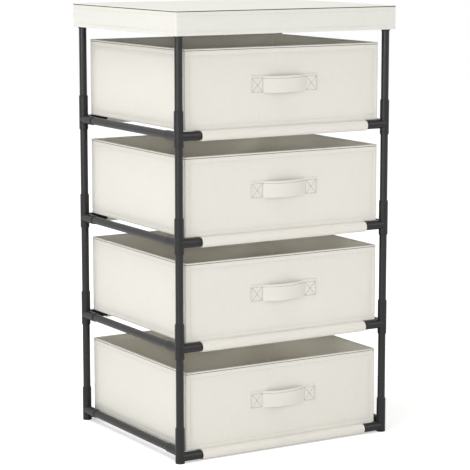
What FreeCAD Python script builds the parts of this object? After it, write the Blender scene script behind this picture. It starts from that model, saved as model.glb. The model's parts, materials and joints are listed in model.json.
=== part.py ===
"""Storage shelf: a tube rack with push-fit connectors, cloth slings, a covered top and four cloth bins.

Millimetres, +Z up, front towards -Y. The origin is on the floor, midway between the four posts.
"""
import FreeCAD, Part
import math
import os
import Sketcher

# Driving dimensions
SIZES = {
    # Tubes and connectors of the rack
    "tube_diameter": 15.0,
    "tube_wall": 1.0,
    "fit_gap": 0.1,
    "connector_wall": 1.4,
    "arm_wall": 1.3,
    "connector_web": 2.0,
    "connector_above_arms": 48.0,
    "connector_below_arms": 21.0,
    "arm_reach": 45.0,
    "tip_length": 2.0,
    "tip_taper": 0.8,
    "foot_floor": 3.0,
    "top_connector_drop": 35.0,
    # Places of the posts and rails
    "post_spacing_width": 464.0,
    "post_spacing_depth": 389.0,
    "level_pitch": 200.0,
    "bottom_side_rail_height": 21.0,
    "bottom_cross_rail_height": 11.5,
    "top_bay_height": 217.0,
    # Slings that carry the bins
    "sling_cloth": 1.5,
    "sleeve_top_gap": 0.2,
    "sleeve_slack": 0.9,
    "sleeve_end_gap": 1.0,
    # Cover and its board
    "board_seat_gap": 0.3,
    "top_board": 3.0,
    "board_edge_gap": 1.0,
    "cover_seat_gap": 0.2,
    "cover_cloth": 2.0,
    "cover_side_gap": 2.0,
    "cover_front_gap": 4.5,
    "skirt_height": 46.2,
    "skirt_corner": 3.0,
    # Bins
    "bin_side_gap": 6.0,
    "bin_end_setback": 3.0,
    "bin_height": 150.5,
    "bin_seat_gap": 0.3,
    "bin_cloth": 1.0,
    "bin_board": 2.0,
    "bin_base_board": 3.0,
    "bin_lining": 0.8,
    "layer_gap": 0.1,
    # Handles
    "handle_length": 149.0,
    "handle_patch": 26.0,
    "handle_width": 32.0,
    "handle_webbing": 1.6,
    "handle_bulge": 10.0,
    "handle_height": 80.0,
}

# Levels are counted from the top: 0 is the top frame, 1 to 4 carry bins
TOP_FRAME = 0
BIN_LEVELS = (1, 2, 3, 4)
MIDDLE_LEVELS = BIN_LEVELS[:-1]
BOTTOM_LEVEL = BIN_LEVELS[-1]
POSTS = {
    "front_left": (-1, -1),
    "front_right": (1, -1),
    "rear_left": (-1, 1),
    "rear_right": (1, 1),
}
X_AXIS = FreeCAD.Vector(1, 0, 0)
Y_AXIS = FreeCAD.Vector(0, 1, 0)
UPRIGHT = FreeCAD.Rotation()
TURNS = {
    "z": UPRIGHT,
    "-z": FreeCAD.Rotation(X_AXIS, 180),
    "x": FreeCAD.Rotation(Y_AXIS, 90),
    "-x": FreeCAD.Rotation(Y_AXIS, -90),
    "y": FreeCAD.Rotation(X_AXIS, -90),
    "-y": FreeCAD.Rotation(X_AXIS, 90),
}

doc = FreeCAD.newDocument("StorageShelf")
nodes = []


def write_sheet():
    """Put each driving dimension into its own cell, with its name as the alias."""
    sheet = doc.addObject("Spreadsheet::Sheet", "Sizes")
    for row, (name, value) in enumerate(SIZES.items(), start=1):
        sheet.set(f"A{row}", name)
        sheet.set(f"B{row}", str(value))
        sheet.setAlias(f"B{row}", name)
    doc.recompute()


def cell(name):
    """The expression that reads one driving dimension."""
    return f"Sizes.{name}"


# Expressions shared by several pieces
TUBE_RADIUS = f"({cell('tube_diameter')} / 2)"
BORE_RADIUS = f"({TUBE_RADIUS} + {cell('fit_gap')})"
SLEEVE_RADIUS = f"({BORE_RADIUS} + {cell('connector_wall')})"
ARM_RADIUS = f"({BORE_RADIUS} + {cell('arm_wall')})"
ARM_BORE_START = f"({SLEEVE_RADIUS} + {cell('fit_gap')})"
RAIL_INSET = f"({ARM_BORE_START} + {cell('fit_gap')})"
HALF_WIDTH = f"({cell('post_spacing_width')} / 2)"
HALF_DEPTH = f"({cell('post_spacing_depth')} / 2)"
SLEEVE_INNER = f"({TUBE_RADIUS} + {cell('sleeve_top_gap')} + {cell('sleeve_slack')})"
SLEEVE_OUTER = f"({SLEEVE_INNER} + {cell('sling_cloth')})"
SLING_TOP = f"({TUBE_RADIUS} + {cell('sleeve_top_gap')} + {cell('sling_cloth')})"
BIN_WIDTH = f"({cell('post_spacing_width')} - 2 * {SLEEVE_RADIUS} - 2 * {cell('bin_side_gap')})"
BIN_DEPTH = f"({cell('post_spacing_depth')} - 2 * {cell('bin_end_setback')})"
BOARD_INSET = f"({cell('bin_cloth')} + {cell('layer_gap')})"
LINING_INSET = f"({BOARD_INSET} + {cell('bin_board')} + {cell('layer_gap')})"
HOLLOW_INSET = f"({LINING_INSET} + {cell('bin_lining')})"
LINING_FLOOR = f"({BOARD_INSET} + {cell('bin_base_board')} + {cell('layer_gap')})"
WALL_FOOT = LINING_FLOOR
RIM_UNDERSIDE = f"({cell('bin_height')} - {BOARD_INSET})"
COVER_WIDTH = (
    f"({cell('post_spacing_width')} + 2 * {SLEEVE_RADIUS}"
    f" + 2 * {cell('cover_side_gap')} + 2 * {cell('cover_cloth')})"
)
COVER_DEPTH = (
    f"({cell('post_spacing_depth')} + 2 * {SLEEVE_RADIUS}"
    f" + 2 * {cell('cover_front_gap')} + 2 * {cell('cover_cloth')})"
)


def side_rail_height(level):
    """Axis height of the side rails on a level, or of the top frame."""
    if level == TOP_FRAME:
        return f"({side_rail_height(BIN_LEVELS[0])} + {cell('top_bay_height')})"
    bays = BOTTOM_LEVEL - level
    return f"({cell('bottom_side_rail_height')} + {bays} * {cell('level_pitch')})"


def cross_rail_height(level):
    """Axis height of the front and rear rails, lower than the side rails at the bottom only."""
    if level == BOTTOM_LEVEL:
        return cell("bottom_cross_rail_height")
    return side_rail_height(level)


def bin_floor_height(level):
    """Underside of a bin, just above the sling that carries it."""
    return f"({cross_rail_height(level)} + {SLING_TOP} + {cell('bin_seat_gap')})"


def signed(sign, expression):
    """The expression, or its negative for a piece on the left or front."""
    return expression if sign > 0 else f"(-{expression})"


def place(piece, x="0", y="0", z="0", direction="z"):
    """Turn a piece to its direction and bind its position to expressions."""
    piece.Placement = FreeCAD.Placement(FreeCAD.Vector(), TURNS[direction])
    for axis, expression in zip("xyz", (x, y, z)):
        if expression != "0":
            piece.setExpression(f"Placement.Base.{axis}", expression)
    return piece


def bind(piece, **expressions):
    """Bind several properties of a piece to expressions."""
    for name, expression in expressions.items():
        piece.setExpression(name, expression)
    return piece


def keep(piece, label):
    """Name a finished sub-part and put it on the list of pieces."""
    piece.Label = label
    nodes.append(piece)
    return piece


def cylinder(radius, length, x="0", y="0", z="0", direction="z"):
    """A round bar that starts at a point and runs in a direction."""
    bar = doc.addObject("Part::Cylinder", "Bar")
    bind(bar, Radius=radius, Height=length)
    return place(bar, x, y, z, direction)


def cone(start_radius, end_radius, length, x="0", y="0", z="0", direction="z"):
    """A tapered bar that starts at a point and runs in a direction."""
    taper = doc.addObject("Part::Cone", "Taper")
    bind(taper, Radius1=start_radius, Radius2=end_radius, Height=length)
    return place(taper, x, y, z, direction)


def block(width, depth, height, x="0", y="0", z="0"):
    """A box centred on X and Y whose underside is at a height."""
    box = doc.addObject("Part::Box", "Block")
    bind(box, Length=width, Width=depth, Height=height)
    return place(box, f"{x} - {width} / 2", f"{y} - {depth} / 2", z)


def fuse(pieces):
    """Several solids joined into one."""
    joined = doc.addObject("Part::MultiFuse", "Joined")
    joined.Shapes = pieces
    joined.Refine = True
    return joined


def cut(base, tools):
    """A solid with one or more tools taken out of it."""
    remaining = doc.addObject("Part::Cut", "Cut")
    remaining.Base = base
    remaining.Tool = tools[0] if len(tools) == 1 else fuse(tools)
    return remaining


def group(pieces):
    """Separate solids that share one node."""
    together = doc.addObject("Part::Compound", "Group")
    together.Links = pieces
    return together


def tube(length, x, y, z, direction):
    """A hollow tube of the rack."""
    bore = f"({TUBE_RADIUS} - {cell('tube_wall')})"
    piece = cut(cylinder(TUBE_RADIUS, length), [cylinder(bore, length)])
    return place(piece, x, y, z, direction)


def sleeve(length, direction, z="0", radius=SLEEVE_RADIUS):
    """The outside of a connector socket with its tapered lip, from the axis outwards."""
    barrel_length = f"({length} - {cell('tip_length')})"
    barrel = cylinder(radius, barrel_length, z=z, direction=direction)
    lip_radius = f"({radius} - {cell('tip_taper')})"
    lip = cone(radius, lip_radius, cell("tip_length"), z=z, direction=direction)
    axis = direction[-1]
    sign = -1 if direction.startswith("-") else 1
    offset = signed(sign, barrel_length)
    lip.setExpression(f"Placement.Base.{axis}", offset if axis != "z" else f"{z} + {offset}")
    return [barrel, lip]


def arm(direction, z="0"):
    """A connector arm and the bore that takes a rail."""
    outside = sleeve(cell("arm_reach"), direction, z, ARM_RADIUS)
    bore_length = f"({cell('arm_reach')} - {ARM_BORE_START})"
    bore = cylinder(BORE_RADIUS, bore_length, z=z, direction=direction)
    axis = direction[-1]
    sign = -1 if direction.startswith("-") else 1
    bore.setExpression(f"Placement.Base.{axis}", signed(sign, ARM_BORE_START))
    return outside, bore


def arm_directions(side, end):
    """Cross arms point towards the middle on X, side arms on Y."""
    return ("-x" if side > 0 else "x"), ("-y" if end > 0 else "y")


def middle_connector(side, end, level):
    """A four-way connector: a post socket above and below, a cross arm and a side arm."""
    cross, along = arm_directions(side, end)
    cross_outside, cross_bore = arm(cross)
    side_outside, side_bore = arm(along)
    above = cell("connector_above_arms")
    below = cell("connector_below_arms")
    half_web = f"({cell('connector_web')} / 2)"
    outside = sleeve(above, "z") + sleeve(below, "-z") + cross_outside + side_outside
    upper_bore = cylinder(BORE_RADIUS, f"{above} - {half_web}", z=half_web)
    lower_bore = cylinder(BORE_RADIUS, f"{below} - {half_web}", z=f"-{half_web}", direction="-z")
    piece = cut(fuse(outside), [upper_bore, lower_bore, cross_bore, side_bore])
    x = signed(side, HALF_WIDTH)
    y = signed(end, HALF_DEPTH)
    return place(piece, x, y, side_rail_height(level))


def foot_connector(side, end):
    """A closed foot with a post socket and two arms, the cross arm lower than the side arm."""
    cross, along = arm_directions(side, end)
    cross_outside, cross_bore = arm(cross, cross_rail_height(BOTTOM_LEVEL))
    side_outside, side_bore = arm(along, side_rail_height(BOTTOM_LEVEL))
    height = f"({side_rail_height(BOTTOM_LEVEL)} + {cell('connector_above_arms')})"
    outside = sleeve(height, "z") + cross_outside + side_outside
    bore = cylinder(BORE_RADIUS, f"{height} - {cell('foot_floor')}", z=cell("foot_floor"))
    piece = cut(fuse(outside), [bore, cross_bore, side_bore])
    return place(piece, signed(side, HALF_WIDTH), signed(end, HALF_DEPTH))


def top_connector(side, end):
    """A three-way corner with a round crown, a post socket below and two arms."""
    cross, along = arm_directions(side, end)
    cross_outside, cross_bore = arm(cross)
    side_outside, side_bore = arm(along)
    drop = cell("top_connector_drop")
    half_web = f"({cell('connector_web')} / 2)"
    crown = doc.addObject("Part::Sphere", "Crown")
    bind(crown, Radius=SLEEVE_RADIUS)
    outside = sleeve(drop, "-z") + cross_outside + side_outside + [crown]
    bore = cylinder(BORE_RADIUS, f"{drop} - {half_web}", z=f"-{half_web}", direction="-z")
    piece = cut(fuse(outside), [bore, cross_bore, side_bore])
    return place(piece, signed(side, HALF_WIDTH), signed(end, HALF_DEPTH), side_rail_height(TOP_FRAME))


def post_tube(side, end, level):
    """The tube that rises from one level's connector to the connector above it."""
    half_web = f"({cell('connector_web')} / 2)"
    stop = f"({half_web} + {cell('fit_gap')})"
    if level == BOTTOM_LEVEL:
        start = f"({cell('foot_floor')} + {cell('fit_gap')})"
    else:
        start = f"({side_rail_height(level)} + {stop})"
    length = f"({side_rail_height(level - 1)} - {stop} - {start})"
    return tube(length, signed(side, HALF_WIDTH), signed(end, HALF_DEPTH), start, "z")


def build_posts_and_connectors():
    """Four posts of four tubes each, with their connectors and feet."""
    crowns = []
    for corner, (side, end) in POSTS.items():
        tubes = [post_tube(side, end, level) for level in BIN_LEVELS]
        keep(group(tubes), f"post_{corner}")
        middles = [middle_connector(side, end, level) for level in MIDDLE_LEVELS]
        keep(group(middles), f"connectors_{corner}")
        keep(foot_connector(side, end), f"foot_{corner}")
        crowns.append(top_connector(side, end))
    keep(group(crowns), "top_connectors")


def build_rails():
    """Cross rails and side rails on the top frame and on the four bin levels."""
    cross_length = f"({cell('post_spacing_width')} - 2 * {RAIL_INSET})"
    side_length = f"({cell('post_spacing_depth')} - 2 * {RAIL_INSET})"
    for level in (TOP_FRAME,) + BIN_LEVELS:
        name = "top" if level == TOP_FRAME else str(level)
        for end_name, end in (("front", -1), ("rear", 1)):
            start = f"(-{cross_length} / 2)"
            rail = tube(cross_length, start, signed(end, HALF_DEPTH), cross_rail_height(level), "x")
            keep(rail, f"{end_name}_rail_{name}")
        for side_name, side in (("left", -1), ("right", 1)):
            start = f"(-{side_length} / 2)"
            rail = tube(side_length, signed(side, HALF_WIDTH), start, side_rail_height(level), "y")
            keep(rail, f"{side_name}_rail_{name}")


def origin_plane(body, role):
    """One of a body's own origin planes."""
    return next(item for item in body.Origin.OriginFeatures if item.Role == role)


def new_sketch(body, role, name):
    """A sketch on one of the body's own origin planes."""
    sketch = body.newObject("Sketcher::SketchObject", name)
    sketch.AttachmentSupport = [(origin_plane(body, role), "")]
    sketch.MapMode = "FlatFace"
    return sketch


def constrain(sketch, kind, *places, name=None, expression=None, value=1.0):
    """Add one constraint and, for a dimension, name it and bind it to an expression."""
    if expression is None:
        return sketch.addConstraint(Sketcher.Constraint(kind, *places))
    index = sketch.addConstraint(Sketcher.Constraint(kind, *places, value))
    sketch.renameConstraint(index, name)
    sketch.setExpression(f"Constraints.{name}", expression)
    return index


def sling_profile(body):
    """End view of a sling: a slack sleeve round each cross rail and the taut panel between them."""
    sizes = SIZES
    reach = sizes["post_spacing_depth"] / 2
    inner = sizes["tube_diameter"] / 2 + sizes["sleeve_top_gap"] + sizes["sleeve_slack"]
    outer = inner + sizes["sling_cloth"]
    axis_height = -sizes["sleeve_slack"]
    top = axis_height + outer
    join_angle = math.asin(inner / outer)
    join_reach = reach - outer * math.cos(join_angle)
    sketch = new_sketch(body, "YZ_Plane", "SlingProfile")
    normal = FreeCAD.Vector(0, 0, 1)
    rear = FreeCAD.Vector(reach, axis_height, 0)
    front = FreeCAD.Vector(-reach, axis_height, 0)
    upper_line = Part.LineSegment(FreeCAD.Vector(-reach, top, 0), FreeCAD.Vector(reach, top, 0))
    lower_height = axis_height + inner
    lower_line = Part.LineSegment(
        FreeCAD.Vector(-join_reach, lower_height, 0), FreeCAD.Vector(join_reach, lower_height, 0)
    )
    rear_circle = Part.Circle(rear, normal, outer)
    front_circle = Part.Circle(front, normal, outer)
    rear_arc = Part.ArcOfCircle(rear_circle, math.pi - join_angle, 2.5 * math.pi)
    front_arc = Part.ArcOfCircle(front_circle, 0.5 * math.pi, 2 * math.pi + join_angle)
    upper = sketch.addGeometry(upper_line, False)
    lower = sketch.addGeometry(lower_line, False)
    rear_outer = sketch.addGeometry(rear_arc, False)
    front_outer = sketch.addGeometry(front_arc, False)
    rear_inner = sketch.addGeometry(Part.Circle(rear, normal, inner), False)
    front_inner = sketch.addGeometry(Part.Circle(front, normal, inner), False)
    start, end, centre = 1, 2, 3
    constrain(sketch, "Tangent", upper, start, front_outer, start)
    constrain(sketch, "Tangent", upper, end, rear_outer, end)
    constrain(sketch, "Coincident", lower, start, front_outer, end)
    constrain(sketch, "Coincident", lower, end, rear_outer, start)
    constrain(sketch, "Horizontal", lower)
    constrain(sketch, "Coincident", rear_inner, centre, rear_outer, centre)
    constrain(sketch, "Coincident", front_inner, centre, front_outer, centre)
    constrain(sketch, "Equal", rear_inner, front_inner)
    constrain(sketch, "Equal", rear_outer, front_outer)
    constrain(sketch, "Symmetric", front_outer, centre, rear_outer, centre, -2)
    constrain(
        sketch, "DistanceX", front_outer, centre, rear_outer, centre,
        name="rail_spacing", expression=cell("post_spacing_depth"), value=2 * reach,
    )
    constrain(
        sketch, "DistanceY", rear_outer, centre, -1, 1,
        name="slack", expression=cell("sleeve_slack"), value=-axis_height,
    )
    constrain(
        sketch, "Radius", rear_inner, name="sleeve_inside", expression=SLEEVE_INNER, value=inner
    )
    constrain(
        sketch, "Radius", rear_outer, name="sleeve_outside", expression=SLEEVE_OUTER, value=outer
    )
    constrain(
        sketch, "DistanceY", lower, start, upper, start,
        name="cloth", expression=cell("sling_cloth"), value=sizes["sling_cloth"],
    )
    return sketch


def build_slings():
    """One sling per bin level, between the arms of the connectors."""
    length = f"({cell('post_spacing_width')} - 2 * {cell('arm_reach')} - 2 * {cell('sleeve_end_gap')})"
    for level in BIN_LEVELS:
        body = doc.addObject("PartDesign::Body", "Sling")
        profile = sling_profile(body)
        panel = body.newObject("PartDesign::Pad", "Panel")
        panel.Profile = profile
        panel.setExpression("Length", length)
        panel.Midplane = True
        place(body, z=cross_rail_height(level))
        keep(body, f"sling_{level}")


def rectangle_sketch(body, name, width, depth, height="0"):
    """A rectangle centred on the body's axis, at a height, with bound width and depth."""
    sketch = new_sketch(body, "XY_Plane", name)
    if height != "0":
        sketch.setExpression("AttachmentOffset.Base.z", height)
    corners = [FreeCAD.Vector(x, y, 0) for x, y in ((-1, -1), (1, -1), (1, 1), (-1, 1))]
    for index in range(4):
        sketch.addGeometry(Part.LineSegment(corners[index], corners[(index + 1) % 4]), False)
    for index in range(4):
        constrain(sketch, "Coincident", index, 2, (index + 1) % 4, 1)
        constrain(sketch, "Vertical" if index % 2 else "Horizontal", index)
    constrain(sketch, "Symmetric", 0, 1, 1, 2, -1, 1)
    constrain(sketch, "DistanceX", 0, 1, 0, 2, name="width", expression=width, value=2.0)
    constrain(sketch, "DistanceY", 1, 1, 1, 2, name="depth", expression=depth, value=2.0)
    return sketch


def build_cover():
    """The stiff board on the top frame and the cloth cover with its skirt."""
    board_height = f"({side_rail_height(TOP_FRAME)} + {SLEEVE_RADIUS} + {cell('board_seat_gap')})"
    inside = f"2 * {cell('cover_cloth')}"
    board_inside = f"({inside} + 2 * {cell('board_edge_gap')})"
    board = block(
        f"({COVER_WIDTH} - {board_inside})", f"({COVER_DEPTH} - {board_inside})", cell("top_board"),
        z=board_height,
    )
    keep(board, "top_board")
    panel_height = f"({board_height} + {cell('top_board')} + {cell('cover_seat_gap')})"
    body = doc.addObject("PartDesign::Body", "Cover")
    outline = rectangle_sketch(body, "CoverOutline", COVER_WIDTH, COVER_DEPTH)
    skirt = body.newObject("PartDesign::Pad", "Skirt")
    skirt.Profile = outline
    skirt.setExpression("Length", cell("skirt_height"))
    hollow_outline = rectangle_sketch(
        body, "HollowOutline", f"({COVER_WIDTH} - {inside})", f"({COVER_DEPTH} - {inside})"
    )
    hollow = body.newObject("PartDesign::Pocket", "Hollow")
    hollow.Profile = hollow_outline
    hollow.setExpression("Length", f"{cell('skirt_height')} - {cell('cover_cloth')}")
    hollow.Reversed = True
    doc.recompute()
    corners = []
    for index, edge in enumerate(hollow.Shape.Edges, start=1):
        middle = edge.CenterOfMass
        upright = edge.BoundBox.ZLength > SIZES["skirt_height"] / 2
        outermost = abs(middle.x) > hollow.Shape.BoundBox.XMax - SIZES["cover_cloth"] / 2
        if upright and outermost:
            corners.append(f"Edge{index}")
    rounding = body.newObject("PartDesign::Fillet", "SkirtCorners")
    rounding.Base = (hollow, corners)
    rounding.setExpression("Radius", cell("skirt_corner"))
    body.Tip = rounding
    place(body, z=f"({panel_height} + {cell('cover_cloth')} - {cell('skirt_height')})")
    keep(body, "top_cover")


def bin_outer():
    """The outer cloth of a bin, turned in over the rim."""
    through_rim = f"2 * {BOARD_INSET}"
    mouth = f"2 * {HOLLOW_INSET}"
    body = block(BIN_WIDTH, BIN_DEPTH, cell("bin_height"))
    cloth_inside = f"2 * {cell('bin_cloth')}"
    hollow_height = f"({cell('bin_height')} - {cloth_inside})"
    hollow = block(
        f"({BIN_WIDTH} - {cloth_inside})", f"({BIN_DEPTH} - {cloth_inside})", hollow_height,
        z=cell("bin_cloth"),
    )
    opening = block(
        f"({BIN_WIDTH} - {mouth})", f"({BIN_DEPTH} - {mouth})", through_rim, z=RIM_UNDERSIDE
    )
    return cut(body, [hollow, opening])


def bin_lining():
    """The lining: an open box inside the boards, up to the turned rim."""
    height = f"({RIM_UNDERSIDE} - {LINING_FLOOR})"
    outside = f"2 * {LINING_INSET}"
    inside = f"2 * {HOLLOW_INSET}"
    body = block(f"({BIN_WIDTH} - {outside})", f"({BIN_DEPTH} - {outside})", height, z=LINING_FLOOR)
    hollow = block(
        f"({BIN_WIDTH} - {inside})", f"({BIN_DEPTH} - {inside})", height,
        z=f"({LINING_FLOOR} + {cell('bin_lining')})",
    )
    return cut(body, [hollow])


def bin_walls():
    """Four stiff wall boards that stand on the base board."""
    height = f"({RIM_UNDERSIDE} - {WALL_FOOT})"
    thickness = cell("bin_board")
    end_width = f"({BIN_WIDTH} - 2 * {BOARD_INSET})"
    side_depth = f"({BIN_DEPTH} - 2 * {LINING_INSET})"
    end_reach = f"({BIN_DEPTH} / 2 - {BOARD_INSET} - {thickness} / 2)"
    side_reach = f"({BIN_WIDTH} / 2 - {BOARD_INSET} - {thickness} / 2)"
    boards = []
    for sign in (-1, 1):
        boards.append(block(end_width, thickness, height, y=signed(sign, end_reach), z=WALL_FOOT))
        boards.append(block(thickness, side_depth, height, x=signed(sign, side_reach), z=WALL_FOOT))
    return group(boards)


def bin_base():
    """The base board, under the lining and the wall boards."""
    inset = f"2 * {BOARD_INSET}"
    return block(
        f"({BIN_WIDTH} - {inset})", f"({BIN_DEPTH} - {inset})", cell("bin_base_board"), z=BOARD_INSET
    )


def bin_handle():
    """A webbing strap with two sewn ends, bowed out from the front of the bin."""
    webbing = cell("handle_webbing")
    width = cell("handle_width")
    bulge = cell("handle_bulge")
    half_span = f"({cell('handle_length')} / 2 - {cell('handle_patch')})"
    bow_radius = f"(({half_span} * {half_span} + {bulge} * {bulge}) / (2 * {bulge}))"
    outer_radius = f"({bow_radius} + {webbing})"
    face = f"(-{BIN_DEPTH} / 2)"
    low = f"({cell('handle_height')} - {width} / 2)"
    centre = f"({face} + {bow_radius} - {bulge})"
    ring = cut(
        cylinder(outer_radius, width, y=centre, z=low), [cylinder(bow_radius, width, y=centre, z=low)]
    )
    bow_room = f"({bulge} + 2 * {webbing})"
    front_half = block(
        cell("handle_length"), bow_room, width, y=f"({face} - {bow_room} / 2)", z=low
    )
    bow = doc.addObject("Part::MultiCommon", "Bow")
    bow.Shapes = [ring, front_half]
    patch_start = f"({half_span} + {webbing} / 2)"
    patch_length = f"({cell('handle_length')} / 2 - {patch_start})"
    patches = [
        block(
            patch_length, webbing, width,
            x=signed(sign, f"({patch_start} + {patch_length} / 2)"), y=f"({face} - {webbing} / 2)", z=low,
        )
        for sign in (-1, 1)
    ]
    return fuse([bow] + patches)


def build_bins():
    """Four like bins, each of cloth, boards, lining and handle, on their slings."""
    makers = {
        "outer": bin_outer,
        "lining": bin_lining,
        "walls": bin_walls,
        "base": bin_base,
        "handle": bin_handle,
    }
    for level in BIN_LEVELS:
        for name, make in makers.items():
            piece = make()
            base = bin_floor_height(level)
            if name == "base":
                base = f"({base} + {BOARD_INSET})"
            piece.setExpression("Placement.Base.z", base)
            keep(piece, f"bin_{level}_{name}")


def check_document():
    """Stop if any object failed or any piece has no sound shape."""
    for item in doc.Objects:
        if "Invalid" in item.State or "Error" in item.State:
            raise RuntimeError(f"{item.Label} failed: {item.State}")
    for piece in nodes:
        if piece.Shape.isNull() or not piece.Shape.isValid() or not piece.Shape.Solids:
            raise RuntimeError(f"{piece.Label} has no valid solid")


def export_pieces():
    """Write each piece to its own file."""
    os.makedirs("parts", exist_ok=True)
    for piece in nodes:
        piece.Shape.exportStep(f"parts/{piece.Label}.step")


write_sheet()
build_posts_and_connectors()
build_rails()
build_slings()
build_cover()
build_bins()
doc.recompute()
check_document()
export_pieces()
whole = Part.makeCompound([piece.Shape for piece in nodes]).BoundBox
print(f"{len(nodes)} pieces, {whole.XLength:.1f} x {whole.YLength:.1f} x {whole.ZLength:.1f} mm")
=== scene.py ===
"""Storage shelf: finishes for the rack's tubes and connectors, and the cloth pieces that it carries.

Laid out as an add-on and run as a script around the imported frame. Lengths are in metres.
"""
import json
import math
from contextlib import contextmanager

import bmesh
import bpy
import numpy as np
from bpy.props import FloatProperty, FloatVectorProperty, PointerProperty
from mathutils import Euler, Matrix, Vector


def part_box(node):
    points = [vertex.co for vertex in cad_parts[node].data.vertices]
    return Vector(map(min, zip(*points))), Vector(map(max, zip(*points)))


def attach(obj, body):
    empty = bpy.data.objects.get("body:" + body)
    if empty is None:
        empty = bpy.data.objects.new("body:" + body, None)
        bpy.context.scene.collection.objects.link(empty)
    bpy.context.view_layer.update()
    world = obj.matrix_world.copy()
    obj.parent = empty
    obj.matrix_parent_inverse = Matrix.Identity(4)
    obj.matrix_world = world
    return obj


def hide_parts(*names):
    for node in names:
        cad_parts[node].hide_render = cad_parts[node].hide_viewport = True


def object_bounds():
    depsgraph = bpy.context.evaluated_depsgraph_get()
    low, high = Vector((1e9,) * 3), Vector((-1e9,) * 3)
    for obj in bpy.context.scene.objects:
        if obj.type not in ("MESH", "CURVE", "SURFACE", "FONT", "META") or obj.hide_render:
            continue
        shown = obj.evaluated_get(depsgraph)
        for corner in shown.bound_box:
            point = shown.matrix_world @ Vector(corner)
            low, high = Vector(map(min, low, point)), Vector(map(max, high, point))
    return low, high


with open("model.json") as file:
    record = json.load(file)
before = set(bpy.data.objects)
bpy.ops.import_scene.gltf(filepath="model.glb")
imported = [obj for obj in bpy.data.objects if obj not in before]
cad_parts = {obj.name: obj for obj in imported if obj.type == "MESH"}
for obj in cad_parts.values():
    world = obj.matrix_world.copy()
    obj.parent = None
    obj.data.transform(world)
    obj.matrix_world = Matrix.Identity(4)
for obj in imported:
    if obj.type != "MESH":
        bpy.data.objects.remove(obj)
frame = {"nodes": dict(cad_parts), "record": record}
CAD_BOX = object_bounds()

bl_info = {
    "name": "Storage Shelf Finish",
    "version": (1, 0, 0),
    "blender": (4, 5, 0),
    "location": "View3D > Sidebar > Shelf",
    "description": "Dresses a tube shelf with cloth bins, slings and a covered top",
    "category": "Object",
}

MM = 0.001
TINY = 0.00005
LEVELS = (1, 2, 3, 4)
X = Vector((1, 0, 0))
Y = Vector((0, 1, 0))
Z = Vector((0, 0, 1))

# Insets from the wall and drops from the top of a bin's bound rim, in millimetres, from outside to inside
RIM_PROFILE = (
    (0.0, 4.2), (0.5, 3.9), (0.8, 3.5), (0.7, 3.1), (0.0, 2.8), (-0.3, 2.0), (-0.25, 1.0), (0.2, 0.3),
    (0.9, 0.0), (3.3, 0.0), (4.1, 0.25), (4.55, 0.9), (4.6, 1.8), (4.6, 3.2),
)
RIM_DROP = 4.6 * MM
SEAM_REACH = 1.5 * MM
ROUND_ANGLE = 80.0
RNG_SEED = 7


# Sizes and colours that a user would change

def colour(label, text, value):
    """A colour setting in scene-linear values."""
    return FloatVectorProperty(
        name=label, description=text, subtype="COLOR", size=3, min=0.0, max=1.0, default=value)


def length(label, text, value):
    """A length setting."""
    return FloatProperty(name=label, description=text, unit="LENGTH", min=0.0, precision=5, default=value)


def share(label, text, value, top=1.0):
    """A plain number setting, from 0 to a top value."""
    return FloatProperty(name=label, description=text, subtype="FACTOR", min=0.0, max=top, default=value)


def place(label, text, value):
    """A place in the frame."""
    return FloatVectorProperty(
        name=label, description=text, subtype="TRANSLATION", unit="LENGTH", size=3, default=value)


def angle(label, text, degrees):
    """An angle setting, given in degrees."""
    return FloatProperty(name=label, description=text, subtype="ANGLE", default=math.radians(degrees))


def power(label, text, value):
    """A lamp's power."""
    return FloatProperty(name=label, description=text, unit="POWER", min=0.0, default=value)


class RackSettings(bpy.types.PropertyGroup):
    """Finish of the tubes and connectors."""

    tube_colour: colour("Tube", "Powder coat on the steel tubes", (0.0155, 0.0150, 0.0150))
    tube_roughness: share("Tube roughness", "Gloss of the powder coat", 0.31)
    plastic_colour: colour("Connector", "Moulded plastic of the connectors", (0.0155, 0.0150, 0.0150))
    plastic_roughness: share("Connector roughness", "Gloss of the moulded plastic", 0.33)
    board_colour: colour("Board", "Stiff board inside the cloth", (0.74, 0.73, 0.69))


class ClothSettings(bpy.types.PropertyGroup):
    """Colours and sewing of the cloth pieces."""

    bin_colour: colour("Bin cloth", "Outer cloth of the bins", (0.805, 0.785, 0.718))
    # Lighter than the outer cloth: partly the lining's own tone, partly painted light that brightens the
    # shaded insides of the bins.
    lining_and_painted_light_colour: colour("Lining", "Inner cloth of the bins", (0.905, 0.872, 0.775))
    cover_colour: colour("Cover cloth", "Cloth of the top cover", (0.80, 0.788, 0.73))
    sling_colour: colour("Sling cloth", "Cloth of the slings", (0.80, 0.772, 0.708))
    strap_colour: colour("Strap", "Cloth of the handles", (0.785, 0.765, 0.703))
    thread_colour: colour("Hem thread", "Sewing thread of the hems", (0.68, 0.66, 0.60))
    strap_thread_colour: colour("Strap thread", "Sewing thread of the handles", (0.15, 0.146, 0.135))
    weave_pitch: length("Weave pitch", "Distance between two threads of the weave", 1.0 * MM)
    # Very dark: partly the real welt cord, partly painted shade for the shadow in the seam grooves of the
    # cover and the bin rims.
    welt_and_seam_shade_colour: colour("Welt", "Dark cord in the seams of the cover and the bins", (0.050, 0.042, 0.028))
    hem_top: length("Top hem", "Distance of the upper sewn line from the rim of a bin", 12.3 * MM)
    hem_bottom: length("Bottom hem", "Distance of the lower sewn line from the bottom of a bin", 8.0 * MM)
    hem_side: length("Side hem", "Distance of an upright sewn line from the corner of a bin", 10.0 * MM)
    seam_pull: length("Seam pull", "How far a sewn line draws the cloth in", 0.5 * MM)
    wave_height: length("Wave height", "Unevenness of the cloth between its seams", 1.6 * MM)
    stitch_length: length("Stitch length", "Length of one stitch", 2.7 * MM)
    stitch_pitch: length("Stitch pitch", "Distance from one stitch to the next", 3.5 * MM)
    thread_width: length("Thread width", "Thickness of the sewing thread", 0.8 * MM)


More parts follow.
